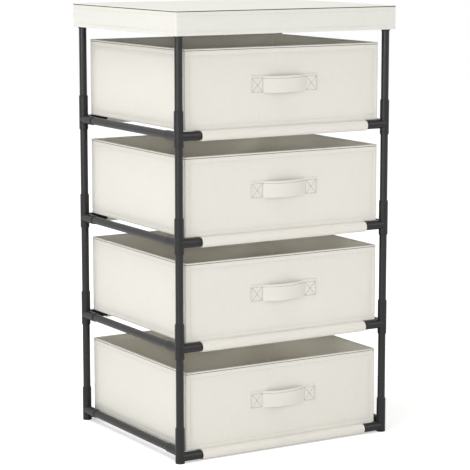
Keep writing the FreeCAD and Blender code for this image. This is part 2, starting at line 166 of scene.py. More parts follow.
class StageSettings(bpy.types.PropertyGroup):
    """Camera, light and floor."""

    camera_place: place("Camera place", "Where the camera stands", (-1.9729, -3.2854, 1.0027))
    camera_heading: angle("Heading", "Turn of the camera from the front towards the right", 31.067)
    camera_pitch: angle("Pitch", "Tilt of the camera below the horizon", 9.054)
    lens: FloatProperty(name="Lens", description="Focal length in millimetres", default=148.04)
    sky_strength: share("Sky", "Strength of the even light from all sides", 0.57, 3.0)
    key_strength: power("Key light", "Power of the large soft lamp overhead", 326.0)
    key_place: place("Key place", "Where the large soft lamp hangs", (-3.0, 0.0, 7.5))
    key_size: length("Key size", "Width of the large soft lamp", 4.8)
    left_strength: power("Left light", "Power of the soft box on the left", 48.0)
    left_place: place("Left place", "Where the soft box on the left stands", (-4.75, -1.95, 0.8))
    left_size: length("Left size", "Width of the soft box on the left", 0.9)
    right_strength: power("Right light", "Power of the soft lamp on the right", 54.0)
    right_place: place("Right place", "Where the soft lamp on the right stands", (3.0, -5.0, 3.0))
    right_size: length("Right size", "Width of the soft lamp on the right", 2.5)
    front_strength: power("Front light", "Power of the lamp at the camera, for the insides of the bins", 15.0)
    front_size: length("Front size", "Width of the lamp at the camera", 0.25)
    floor_colour: colour("Floor", "Pale floor", (0.90, 0.90, 0.90))


def cloth_settings():
    return bpy.context.scene.shelf_cloth


# Node materials written as Python expressions

class Wire:
    """One output socket of a material; arithmetic on it adds Math nodes."""

    def __init__(self, finish, socket):
        self.finish = finish
        self.socket = socket

    def out(self, name):
        """Another output of the same node."""
        return Wire(self.finish, self.socket.node.outputs[name])

    def __add__(self, other):
        return self.finish.math("ADD", self, other)

    __radd__ = __add__

    def __sub__(self, other):
        return self.finish.math("SUBTRACT", self, other)

    def __rsub__(self, other):
        return self.finish.math("SUBTRACT", other, self)

    def __mul__(self, other):
        return self.finish.math("MULTIPLY", self, other)

    __rmul__ = __mul__

    def __truediv__(self, other):
        return self.finish.math("DIVIDE", self, other)

    def __abs__(self):
        return self.finish.math("ABSOLUTE", self)


class Finish:
    """The node tree of a material or a world in the making."""

    def __init__(self, owner):
        owner.use_nodes = True
        self.owner = owner
        self.tree = owner.node_tree
        self.tree.nodes.clear()

    def node(self, kind, settings=None, inputs=None, output=0):
        """Add a node: its settings come first, then the values or links of its sockets."""
        item = self.tree.nodes.new(kind)
        for key, value in (settings or {}).items():
            setattr(item, key, value)
        for key, value in (inputs or {}).items():
            if isinstance(value, Wire):
                self.tree.links.new(value.socket, item.inputs[key])
            else:
                item.inputs[key].default_value = value
        return Wire(self, item.outputs[output]) if len(item.outputs) else None

    def math(self, operation, *values):
        return self.node("ShaderNodeMath", {"operation": operation}, dict(enumerate(values)))

    def coords(self, kind="Object", scale=None):
        """Object or UV coordinates, in metres, stretched by a scale if one is given."""
        wire = self.node("ShaderNodeTexCoord", output=kind)
        if scale is None:
            return wire
        return self.node("ShaderNodeMapping", inputs={"Vector": wire, "Scale": scale})

    def noise(self, coords, scale, detail=2.0, roughness=0.5):
        """Soft noise about zero, from about -0.5 to 0.5."""
        fac = self.node("ShaderNodeTexNoise", inputs={
            "Vector": coords, "Scale": scale, "Detail": detail, "Roughness": roughness})
        return fac - 0.5

    def shade(self, tint, light):
        """A colour made lighter or darker by a number that changes over the surface."""
        return self.node("ShaderNodeVectorMath", {"operation": "SCALE"}, {0: tuple(tint), "Scale": light})

    def bump(self, height, distance, strength=1.0):
        return self.node("ShaderNodeBump", inputs={
            "Height": height, "Distance": distance, "Strength": strength})

    def surface(self, **sockets):
        """Close the material with one surface shader; underscores in the names stand for spaces."""
        inputs = {name.replace("_", " "): value for name, value in sockets.items()}
        shader = self.node("ShaderNodeBsdfPrincipled", inputs=inputs)
        self.node("ShaderNodeOutputMaterial", inputs={"Surface": shader})
        return self.owner


def new_finish(name):
    return Finish(bpy.data.materials.new(name))


def woven_cloth(name, tint, pitch):
    """Linen-look cloth on metric UVs: crossing threads, uneven slubs and a faint mottle."""
    finish = new_finish(name)
    uv = finish.coords("UV")
    split = finish.node("ShaderNodeSeparateXYZ", inputs={0: uv})
    warp = split.out("X") / pitch
    weft = split.out("Y") / pitch
    over = finish.math("FLOORED_MODULO", finish.math("FLOOR", warp) + finish.math("FLOOR", weft), 2.0)
    warp_round = abs(finish.math("SINE", warp * math.pi))
    weft_round = abs(finish.math("SINE", weft * math.pi))
    threads = warp_round * over + weft_round * (1 - over)
    slubs = (finish.noise(finish.coords("UV", (620.0, 26.0, 1.0)), 1.0, 3.0)
             + finish.noise(finish.coords("UV", (26.0, 620.0, 1.0)), 1.0, 3.0))
    mottle = finish.noise(finish.coords(), 14.0, 3.0) * 1.5 + finish.noise(finish.coords(), 130.0, 2.0)
    # The threads term darkens the hollows between the thread crowns: painted shade.
    light = 0.98 + slubs * 0.07 + mottle * 0.02 + (threads - 0.6) * 0.05
    return finish.surface(
        Base_Color=finish.shade(tint, light),
        Roughness=0.9 + slubs * 0.1,
        Normal=finish.bump(threads + slubs * 0.8, 0.25 * MM, 0.6),
        Specular_IOR_Level=0.2,
        Sheen_Weight=0.06,
        Sheen_Roughness=0.6,
    )


def felted_lining(name, tint):
    """Non-woven lining: pressed dimples in a fine tangle of fibres."""
    finish = new_finish(name)
    uv = finish.coords("UV")
    split = finish.node("ShaderNodeSeparateXYZ", inputs={0: uv})
    dimple = 1.9 * MM
    row = split.out("Y") / dimple
    stagger = finish.math("FLOORED_MODULO", finish.math("FLOOR", row), 2.0) * 0.5
    across = finish.math("SINE", (split.out("X") / dimple + stagger) * (2 * math.pi))
    along = finish.math("SINE", row * (2 * math.pi))
    pressed = finish.node("ShaderNodeMapRange", {"interpolation_type": "SMOOTHSTEP"}, {
        "Value": across * along, "From Min": 0.25, "From Max": 0.8, "To Min": 0.0, "To Max": 1.0})
    fibres = (finish.noise(finish.coords("UV", (900.0, 130.0, 1.0)), 1.0, 4.0)
              + finish.noise(finish.coords("UV", (130.0, 900.0, 1.0)), 1.0, 4.0))
    mottle = finish.noise(finish.coords(), 22.0, 4.0)
    light = 1.0 + fibres * 0.10 + mottle * 0.06 - pressed * 0.05
    return finish.surface(
        Base_Color=finish.shade(tint, light),
        Roughness=0.88 + fibres * 0.1,
        Normal=finish.bump(fibres * 0.5 - pressed, 0.2 * MM, 0.7),
        Specular_IOR_Level=0.2,
    )


def powder_coat(name, tint, roughness):
    """Satin powder coat on steel: orange peel, fine speckle and a little rubbing."""
    finish = new_finish(name)
    coords = finish.coords()
    peel = finish.noise(coords, 900.0, 2.0)
    speckle = finish.noise(coords, 4200.0, 1.0)
    rubbed = finish.noise(coords, 35.0, 5.0, 0.65)
    light = 1.0 + speckle * 0.35 + rubbed * 0.25
    return finish.surface(
        Base_Color=finish.shade(tint, light),
        Roughness=roughness + rubbed * 0.12 + speckle * 0.06,
        Normal=finish.bump(peel + speckle * 0.3, 0.04 * MM, 0.3),
        Specular_IOR_Level=0.35,
    )


def moulded_plastic(name, tint, roughness):
    """Matte moulded plastic with a spark-eroded grain."""
    finish = new_finish(name)
    coords = finish.coords()
    grain = finish.noise(coords, 2600.0, 2.0)
    flow = finish.noise(coords, 60.0, 3.0)
    light = 1.0 + grain * 0.3 + flow * 0.15
    return finish.surface(
        Base_Color=finish.shade(tint, light),
        Roughness=roughness + flow * 0.1 + grain * 0.08,
        Normal=finish.bump(grain, 0.03 * MM, 0.35),
        Specular_IOR_Level=0.3,
    )


def grey_board(name, tint):
    """Pressed board with visible fibres."""
    finish = new_finish(name)
    coords = finish.coords()
    fibres = finish.noise(coords, 700.0, 4.0, 0.7)
    patches = finish.noise(coords, 40.0, 3.0)
    return finish.surface(
        Base_Color=finish.shade(tint, 1.0 + fibres * 0.25 + patches * 0.12),
        Roughness=0.85 + fibres * 0.1,
        Normal=finish.bump(fibres, 0.1 * MM, 0.5),
        Specular_IOR_Level=0.25,
    )


def sewing_thread(name, tint):
    """Matte twisted thread."""
    finish = new_finish(name)
    fuzz = finish.noise(finish.coords(), 3000.0, 2.0)
    return finish.surface(
        Base_Color=finish.shade(tint, 1.0 + fuzz * 0.4),
        Roughness=0.8 + fuzz * 0.2,
        Normal=finish.bump(fuzz, 0.1 * MM, 0.6),
        Specular_IOR_Level=0.3,
    )


def cloth_finish(name):
    """A cloth or thread finish by its name, made once."""
    made = bpy.data.materials.get(name)
    if made:
        return made
    cloth = cloth_settings()
    if name == "felted_lining":
        return felted_lining(name, cloth.lining_and_painted_light_colour)
    threads = {
        "hem_thread": cloth.thread_colour,
        "strap_thread": cloth.strap_thread_colour,
        # The dark cord finish is partly painted shade for the shadow in the seam grooves.
        "welt_and_seam_shade": cloth.welt_and_seam_shade_colour,
    }
    if name in threads:
        return sewing_thread(name, threads[name])
    linens = {
        "bin_linen": cloth.bin_colour,
        "cover_linen": cloth.cover_colour,
        "sling_linen": cloth.sling_colour,
        "strap_linen": cloth.strap_colour,
    }
    return woven_cloth(name, linens[name], cloth.weave_pitch)


# Modelling helpers

def start_fresh():
    """Leave edit mode and clear the selection, so that an operator acts only on what is picked next."""
    if bpy.context.mode != "OBJECT":
        bpy.ops.object.mode_set(mode="OBJECT")
    bpy.ops.object.select_all(action="DESELECT")


def make_active(piece):
    start_fresh()
    piece.select_set(True)
    bpy.context.view_layer.objects.active = piece


@contextmanager
def editing(piece):
    """Edit mode on one piece, with nothing selected."""
    make_active(piece)
    bpy.ops.object.mode_set(mode="EDIT")
    bpy.ops.mesh.select_all(action="DESELECT")
    yield
    bpy.ops.object.mode_set(mode="OBJECT")


def pick(piece, kind, test):
    """Select the vertices, edges or faces of the edited piece that pass a test."""
    bpy.ops.mesh.select_mode(type=kind)
    bpy.ops.mesh.select_all(action="DESELECT")
    mesh = bmesh.from_edit_mesh(piece.data)
    pool = {"VERT": mesh.verts, "EDGE": mesh.edges, "FACE": mesh.faces}[kind]
    count = 0
    for element in pool:
        if test(element):
            element.select_set(True)
            count += 1
    if not count:
        raise RuntimeError(f"{piece.name}: nothing to pick")
    mesh.select_flush_mode()
    bmesh.update_edit_mesh(piece.data)


def select_all():
    bpy.ops.mesh.select_all(action="SELECT")


def extrude(move):
    """Carry the selected edges of the edited mesh on by one step."""
    bpy.ops.mesh.extrude_region_move(TRANSFORM_OT_translate={"value": move})


def name_piece(piece, name):
    piece.name = name
    piece.data.name = name


def all_at(edge, axis, value):
    return all(abs(vert.co[axis] - value) < TINY for vert in edge.verts)


def slice_at(axis, cuts):
    """Cut the edited mesh across one axis at each of the given places."""
    normal = [0.0, 0.0, 0.0]
    normal[axis] = 1.0
    for cut in cuts:
        point = [0.0, 0.0, 0.0]
        point[axis] = cut
        select_all()
        bpy.ops.mesh.bisect(plane_co=point, plane_no=normal)


def spaced(start, end, step):
    """Places between two ends, about one step apart, without the ends."""
    count = max(2, round(abs(end - start) / step))
    return [start + (end - start) * index / count for index in range(1, count)]


def beside(line, reach=SEAM_REACH):
    """A sewn line and the cuts on both sides that keep its pull narrow."""
    return [line - reach, line, line + reach]


def add_block(name, low, high):
    """A block between two corners, with its place in its mesh."""
    start_fresh()
    bpy.ops.mesh.primitive_cube_add(size=1.0, location=(low + high) / 2)
    block = bpy.context.object
    name_piece(block, name)
    block.scale = high - low
    bpy.ops.object.transform_apply(location=True, rotation=True, scale=True)
    return block


def open_shell(name, low, high, open_top, corner, fold):
    """A block without its top or bottom face, with rounded upright corners and a rounded closed end."""
    shell = add_block(name, low, high)
    away = 1 if open_top else -1
    closed = low.z if open_top else high.z
    with editing(shell):
        pick(shell, "FACE", lambda face: face.normal.z * away > 0.9)
        bpy.ops.mesh.delete(type="ONLY_FACE")
        pick(shell, "EDGE", lambda edge: abs(edge.verts[0].co.z - edge.verts[1].co.z) > fold)
        bpy.ops.mesh.bevel(offset=corner, segments=5, affect="EDGES")
        pick(shell, "EDGE", lambda edge: all_at(edge, 2, closed))
        bpy.ops.mesh.bevel(offset=fold, segments=4, affect="EDGES")
    return shell


def grow_rim(shell, half, start_z, top, profile):
    """Carry the open edge of a shell through a list of insets and drops."""
    inset = 0.0
    height = start_z
    pick(shell, "EDGE", lambda edge: edge.is_boundary and all_at(edge, 2, start_z))
    for new_inset, drop in profile:
        new_inset *= MM
        new_height = top - drop * MM
        extrude((0, 0, new_height - height))
        bpy.ops.transform.resize(
            value=((half.x - new_inset) / (half.x - inset), (half.y - new_inset) / (half.y - inset), 1),
            center_override=(0, 0, new_height))
        inset = new_inset
        height = new_height


def pull_line(piece, test, depth):
    """Draw a sewn line into the cloth."""
    pick(piece, "VERT", test)
    bpy.ops.transform.shrink_fatten(value=-depth)


def lay_cord(piece, name, test, thickness):
    """A cord along the edge loop of the edited piece that passes a test."""
    pick(piece, "EDGE", test)
    bpy.ops.mesh.duplicate()
    bpy.ops.mesh.remove_doubles(threshold=TINY)
    bpy.ops.mesh.separate(type="SELECTED")
    bpy.ops.object.mode_set(mode="OBJECT")
    cord = next(other for other in bpy.context.selected_objects if other != piece)
    make_active(cord)
    bpy.ops.object.convert(target="CURVE")
    cord.data.twist_mode = "Z_UP"
    cord.data.bevel_depth = thickness / 2
    cord.data.bevel_resolution = 1
    bpy.ops.object.convert(target="MESH")
    name_piece(cord, name)
    smooth(cord, ROUND_ANGLE)
    make_active(piece)
    bpy.ops.object.mode_set(mode="EDIT")
    return cord


def unwrap_metric(piece):
    """UVs in metres, projected from the sides, for the weave."""
    with editing(piece):
        select_all()
        bpy.ops.uv.cube_project(cube_size=1.0, correct_aspect=False, scale_to_bounds=False)


def apply_modifier(piece, kind, **settings):
    make_active(piece)
    modifier = piece.modifiers.new(kind.title(), kind)
    for key, value in settings.items():
        setattr(modifier, key, value)
    bpy.ops.object.modifier_apply(modifier=modifier.name)


def ripple(piece, height, scale, weight):
    """Uneven cloth: soft noise along the normals, weighted by place."""
    texture = bpy.data.textures.new(f"{piece.name}_ripple", "CLOUDS")
    texture.noise_scale = scale
    texture.noise_depth = 2
    group = piece.vertex_groups.new(name="ripple")
    for vert in piece.data.vertices:
        group.add([vert.index], weight(vert.co), "REPLACE")
    apply_modifier(piece, "DISPLACE", texture=texture, texture_coords="LOCAL", strength=height,
                   mid_level=0.5, vertex_group=group.name)
    piece.vertex_groups.clear()
    bpy.data.textures.remove(texture)


def thicken(piece, thickness, offset=-1.0):
    apply_modifier(piece, "SOLIDIFY", thickness=thickness, offset=offset, use_even_offset=True)


def smooth(piece, degrees=50.0):
    make_active(piece)
    bpy.ops.object.shade_smooth_by_angle(angle=math.radians(degrees))


def copy_of(piece, name, shift):
    """A copy with its own mesh, moved within its mesh."""
    twin = piece.copy()
    twin.data = piece.data.copy()
    name_piece(twin, name)
    twin.data.transform(Matrix.Translation(shift))
    bpy.context.collection.objects.link(twin)
    return twin


def discard(piece):
    """Remove a pattern together with its mesh."""
    mesh = piece.data
    bpy.data.objects.remove(piece)
    bpy.data.meshes.remove(mesh)


def settle(piece, body, finish, replaced=()):
    """Give a modelled piece its named finish and its place in the frame."""
    piece.data.materials.clear()
    piece.data.materials.append(cloth_finish(finish))
    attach(piece, body)
    if replaced:
        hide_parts(*replaced)


def ease(value, start, end):
    """From 0 at start to 1 at end, smoothly."""
    share_done = min(1.0, max(0.0, (value - start) / (end - start)))
    return share_done * share_done * (3 - 2 * share_done)


# Sewing

STITCH_FLATNESS = 0.8
STITCH_SKEW = 0.03
STITCH_SPREAD = 0.05


def model_stitch():
    """One short stitch along X, modelled once; its points and faces are copied along the seams."""
    cloth = cloth_settings()
    start_fresh()
    bpy.ops.mesh.primitive_uv_sphere_add(segments=6, ring_count=4, radius=0.5, rotation=(0, math.pi / 2, 0))
    stitch = bpy.context.object
    bpy.ops.object.transform_apply(location=True, rotation=True, scale=True)
    with editing(stitch):
        select_all()
        bpy.ops.transform.resize(
            value=(cloth.stitch_length, cloth.thread_width, cloth.thread_width * STITCH_FLATNESS),
            center_override=(0, 0, 0))
    points = np.array([vert.co for vert in stitch.data.vertices])
    faces = [list(face.vertices) for face in stitch.data.polygons]
    discard(stitch)
    return points, faces


def seam(start, end, out):
    """A straight seam between two points, on a face that looks out."""
    return [(Vector(start), Vector(out)), (Vector(end), Vector(out))]


def read_path(values, reach, where):
    """Values given at some lengths of a path, read at other lengths."""
    return np.stack([np.interp(where, reach, values[:, axis]) for axis in range(3)], axis=1)


def sew(name, seams, body, thread):
    """Stitches along every seam, joined into one piece that rides with a body."""
    cloth = cloth_settings()
    random = np.random.RandomState(RNG_SEED)
    points, faces = model_stitch()
    all_points = []
    for line in seams:
        path = np.array([point for point, out in line])
        outs = np.array([out for point, out in line])
        reach = np.concatenate([[0.0], np.cumsum(np.linalg.norm(np.diff(path, axis=0), axis=1))])
        count = max(1, int(reach[-1] / cloth.stitch_pitch))
        at = (np.arange(count) + 0.5) * reach[-1] / count
        half = cloth.stitch_length / 2
        centre = read_path(path, reach, at)
        ahead = read_path(path, reach, at + half) - read_path(path, reach, at - half)
        out = read_path(outs, reach, at)
        ahead /= np.linalg.norm(ahead, axis=1)[:, None]
        out /= np.linalg.norm(out, axis=1)[:, None]
        side = np.cross(out, ahead)
        ahead += side * random.normal(0.0, STITCH_SKEW, count)[:, None]
        size = random.normal(1.0, STITCH_SPREAD, count)[:, None, None]
        axes = np.stack([ahead, side, out], axis=1)
        all_points.append((centre[:, None, :] + size * (points @ axes)).reshape(-1, 3))
    placed = np.concatenate(all_points)
    total = len(placed) // len(points)
    shifted = [[corner + index * len(points) for corner in face]
               for index in range(total) for face in faces]
    mesh = bpy.data.meshes.new(name)
    mesh.from_pydata(placed.tolist(), [], shifted)
    piece = bpy.data.objects.new(name, mesh)
    bpy.context.collection.objects.link(piece)
    smooth(piece, ROUND_ANGLE)
    settle(piece, body, thread)


def wall_ends(low, high, margin):
    """Two points near the ends of each wall of a box, at no height, and the way out of the wall."""
    walls = (
        (X, (low.x, low.y), high.x - low.x, -Y),
        (Y, (high.x, low.y), high.y - low.y, X),
        (-X, (high.x, high.y), high.x - low.x, Y),
        (-Y, (low.x, high.y), high.y - low.y, -X),
    )
    for ahead, corner, width, out in walls:
        start = Vector((*corner, 0))
        yield start + ahead * margin, start + ahead * (width - margin), out


def wall_seams(low, high, cloth):
    """Sewn lines round the four walls of a bin: two level lines, and an upright line beside each corner."""
    seams = []
    bottom = low.z + cloth.hem_bottom
    top = high.z - cloth.hem_top
    for left, right, out in wall_ends(low, high, cloth.hem_side):
        for height in (bottom, top):
            seams.append(seam(left + Z * height, right + Z * height, out))
        for foot in (left, right):
            seams.append(seam(foot + Z * bottom, foot + Z * top, out))
    return seams


# Pieces

class SHELF_OT_finish_rack(bpy.types.Operator):
    """Give the tubes, connectors and hidden boards their finishes"""

    bl_idname = "shelf.finish_rack"
    bl_label = "Finish Rack"

    def execute(self, context):
        rack = context.scene.shelf_rack
        finishes = {
            "tube_steel": powder_coat("tube_steel", rack.tube_colour, rack.tube_roughness),
            "connector_plastic": moulded_plastic(
                "connector_plastic", rack.plastic_colour, rack.plastic_roughness),
            "stiff_board": grey_board("stiff_board", rack.board_colour),
        }
        for part in frame["record"]["subparts"]:
            finish = finishes.get(part["material_slot"])
            if finish:
                mesh = frame["nodes"][part["node"]].data
                mesh.materials.clear()
                mesh.materials.append(finish)
        return {"FINISHED"}


class SHELF_OT_hang_slings(bpy.types.Operator):
    """Hang a cloth sling on each pair of cross rails, with a sewn sleeve round both rails"""

    bl_idname = "shelf.hang_slings"
    bl_label = "Hang Slings"

    CLOTH = 1.2 * MM
    SLEEVE_CLOTH = 1.25 * MM
    SLEEVE_LINE = math.radians(36)
    SEAM_INSET = 24.0 * MM
    LAYER_STEP = 1.5 * MM
    WRAP_STEPS = 22
    CELL_WIDTH = 9.0 * MM
    CELL_DEPTH = 14.0 * MM
    BAND = 4.0 * MM
    LEVEL_NORMAL = 0.99
    STITCH_MARGIN = 3.0 * MM
    RIPPLE = 0.5 * MM
    RIPPLE_SCALE = 0.03
    TAUT_SHARE = 0.25

    def execute(self, context):
        for level in LEVELS:
            self.hang(level)
        return {"FINISHED"}

    def sleeve_centre(self, side, level):
        """The middle of a sleeve, which hangs a little below the rail that it goes round."""
        low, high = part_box(f"{side}_rail_{level}")
        sling_low, sling_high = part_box(f"sling_{level}")
        return Vector((0, (low.y + high.y) / 2, (sling_low.z + sling_high.z) / 2))

    def start_edge(self, name, half_width, start):
        """One edge across the sling, at the inner end of the front sleeve."""
        start_fresh()
        bpy.ops.mesh.primitive_plane_add(size=1.0)
        piece = bpy.context.object
        name_piece(piece, name)
        with editing(piece):
            pick(piece, "VERT", lambda vert: vert.co.y > 0)
            bpy.ops.mesh.delete(type="VERT")
            select_all()
            bpy.ops.transform.resize(value=(2 * half_width, 0, 1), center_override=(0, 0, 0))
            bpy.ops.transform.translate(value=start)
        return piece

    def hang(self, level):
        low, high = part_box(f"sling_{level}")
        front = self.sleeve_centre("front", level)
        rear = self.sleeve_centre("rear", level)
        radius = (high.z - low.z - self.SLEEVE_CLOTH) / 2
        seam_drop = radius - self.LAYER_STEP
        reach = math.hypot(self.SEAM_INSET, seam_drop)
        tangent = math.acos(radius / reach) - math.atan2(seam_drop, self.SEAM_INSET)
        wrap = math.radians(270) - tangent
        touch = Vector((0, radius * math.cos(tangent), -radius * math.sin(tangent)))
        seam_start = front + Vector((0, self.SEAM_INSET, seam_drop))
        seam_end = rear + Vector((0, -self.SEAM_INSET, seam_drop))
        name = f"sling_{level}_cloth"
        cloth = self.start_edge(name, high.x, seam_start)
        with editing(cloth):
            select_all()
            extrude(front + touch - seam_start)
            bpy.ops.mesh.spin(steps=self.WRAP_STEPS, angle=wrap, center=front, axis=X)
            extrude(rear - front)
            bpy.ops.mesh.spin(steps=self.WRAP_STEPS, angle=wrap, center=rear, axis=X)
            leave = rear + Vector((0, -touch.y, touch.z))
            extrude(seam_end - leave)
            slice_at(0, spaced(low.x, high.x, self.CELL_WIDTH))
            first = front.y + self.SEAM_INSET + self.BAND
            last = rear.y - self.SEAM_INSET - self.BAND
            slice_at(1, spaced(first, last, self.CELL_DEPTH) + [first, last])
            select_all()
            bpy.ops.mesh.remove_doubles(threshold=TINY)
            bpy.ops.mesh.normals_make_consistent(inside=False)
            upward = 0.0
            for face in bmesh.from_edit_mesh(cloth.data).faces:
                if abs(face.normal.z) > self.LEVEL_NORMAL and face.calc_center_median().z > front.z:
                    upward += face.normal.z
            if upward < 0:
                select_all()
                bpy.ops.mesh.flip_normals()
        unwrap_metric(cloth)

        def weight(point):
            outside = max(front.y + self.BAND - point.y, point.y - rear.y + self.BAND)
            below = ease(front.z + 7 * MM - point.z, 0, 8 * MM)
            loose = below * ease(outside, -8 * MM, self.BAND)
            return self.TAUT_SHARE + (1 - self.TAUT_SHARE) * loose

        ripple(cloth, self.RIPPLE, self.RIPPLE_SCALE, weight)
        thicken(cloth, self.CLOTH, 0.0)
        smooth(cloth)
        settle(cloth, "frame", "sling_linen", [f"sling_{level}"])

        top_z = front.z + radius + self.CLOTH / 2
        margin = self.STITCH_MARGIN
        left = X * (low.x + margin)
        right = X * (high.x - margin)
        lines = []
        for y in (front.y + self.SEAM_INSET - margin, rear.y - self.SEAM_INSET + margin):
            middle = Vector((0, y, top_z))
            lines.append(seam(middle + left, middle + right, Z))
        for centre, end in ((front, -1), (rear, 1)):
            out = Vector((0, end * math.cos(self.SLEEVE_LINE), -math.sin(self.SLEEVE_LINE)))
            middle = centre + out * (radius + self.CLOTH / 2)
            lines.append(seam(middle + left, middle + right, out))
        sew(f"sling_{level}_stitching", lines, "frame", "hem_thread")


class SHELF_OT_fit_cover(bpy.types.Operator):
    """Fit the cloth cover with its seamed top edge and hemmed skirt over the top frame"""

    bl_idname = "shelf.fit_cover"
    bl_label = "Fit Cover"

    CLOTH = 1.4 * MM
    CORNER = 2.2 * MM
    FOLD = 1.0 * MM
    SEAM_DROP = 2.0 * MM
    SEAM_DEPTH = 1.0 * MM
    WELT = 2.8 * MM
    WELT_REACH = 0.8 * MM
    HEM_PULL = 0.2 * MM
    UPPER_LINE = 10.0 * MM
    LOWER_LINE = 7.5 * MM
    EDGE = 14.0 * MM
    CELL = 11.0 * MM
    SKIRT_CELL = 7.0 * MM
    RIPPLE_SCALE = 0.07
    TOP_SHARE = 0.5
    STITCH_MARGIN = 5.0 * MM

    def execute(self, context):
        cloth = cloth_settings()
        low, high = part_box("top_cover")
        cover = open_shell("top_cover_cloth", low, high, False, self.CORNER, self.FOLD)
        seam_z = high.z - self.SEAM_DROP
        upper = high.z - self.UPPER_LINE
        lower = low.z + self.LOWER_LINE
        with editing(cover):
            for axis in range(2):
                first = low[axis] + self.EDGE
                last = high[axis] - self.EDGE
                slice_at(axis, spaced(first, last, self.CELL) + [first, last])
            slice_at(2, beside(seam_z, self.WELT_REACH) + beside(upper) + beside(lower)
                     + spaced(lower + SEAM_REACH, upper - SEAM_REACH, self.SKIRT_CELL))
            pull_line(cover, lambda vert: abs(vert.co.z - seam_z) < TINY, self.SEAM_DEPTH)
            for line in (upper, lower):
                pull_line(cover, lambda vert: abs(vert.co.z - line) < TINY, self.HEM_PULL)
            # The welt's dark finish is partly painted shade for the shadow in the groove under the cover's
            # top edge.
            welt = lay_cord(cover, "top_cover_seam_shade_welt", lambda edge: all_at(edge, 2, seam_z), self.WELT)
        unwrap_metric(cover)
        settle(welt, "top_cover", "welt_and_seam_shade")

        def weight(point):
            inside = min(high.x - abs(point.x), high.y - abs(point.y))
            top = ease(inside, 5 * MM, 40 * MM) * self.TOP_SHARE
            skirt = ease(upper - point.z, 0, 12 * MM) * ease(point.z - lower, -14 * MM, 8 * MM)
            return max(top, skirt if inside < 2 * MM else 0.0)

        ripple(cover, cloth.wave_height, self.RIPPLE_SCALE, weight)
        thicken(cover, self.CLOTH)
        smooth(cover)
        settle(cover, "top_cover", "cover_linen", ["top_cover"])

        lines = []
        for height in (upper, lower):
            for left, right, out in wall_ends(low, high, self.STITCH_MARGIN):
                lines.append(seam(left + Z * height, right + Z * height, out))
        sew("top_cover_stitching", lines, "top_cover", "hem_thread")
        return {"FINISHED"}


